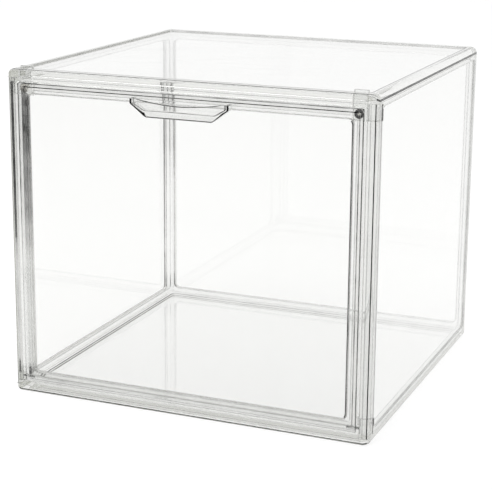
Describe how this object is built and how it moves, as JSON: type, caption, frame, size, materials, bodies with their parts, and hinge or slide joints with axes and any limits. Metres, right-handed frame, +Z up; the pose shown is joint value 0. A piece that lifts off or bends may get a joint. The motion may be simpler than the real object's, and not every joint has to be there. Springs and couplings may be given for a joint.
{
  "type": "mini greenhouse",
  "caption": "Clear plastic display case used as a mini greenhouse: framed panels round a box, with a drop-down front door that magnets hold shut.",
  "frame": {"origin": "centre of the case's footprint on the surface it stands on, with the pull counted in", "axes": "+X to the right as seen from the front, +Y from the door to the back, +Z up"},
  "size_m": [0.35, 0.346, 0.3085],
  "materials": {
    "panel_clear": "crystal-clear moulded plastic, polished faces",
    "frame_clear": "crystal-clear moulded plastic, polished faces",
    "door_clear": "crystal-clear moulded plastic, polished faces",
    "clip_clear": "clear moulded plastic",
    "magnet_nickel": "bright nickel plate"
  },
  "bodies": {
    "case": {"base_panel": "panel_clear", "back_panel": "panel_clear", "left_panel": "panel_clear", "right_panel": "panel_clear", "top_panel": "panel_clear", "front_frame": "frame_clear", "clip_top_left": "clip_clear", "clip_top_right": "clip_clear", "clip_bottom_left": "clip_clear", "clip_bottom_right": "clip_clear", "magnet_holder_left": "clip_clear", "magnet_holder_right": "clip_clear", "frame_magnet_left": "magnet_nickel", "frame_magnet_right": "magnet_nickel"},
    "door": {"door": "door_clear", "door_pull": "door_clear", "hinge_pin_left": "clip_clear", "hinge_pin_right": "clip_clear", "door_magnet_left": "magnet_nickel", "door_magnet_right": "magnet_nickel"}
  },
  "joints": [
    {"name": "door_hinge", "type": "hinge", "parent": "case", "child": "door", "pos_m": [0, -0.16, 0.0152], "axis": [1, 0, 0], "range_deg": [0, 90]}
  ]
}
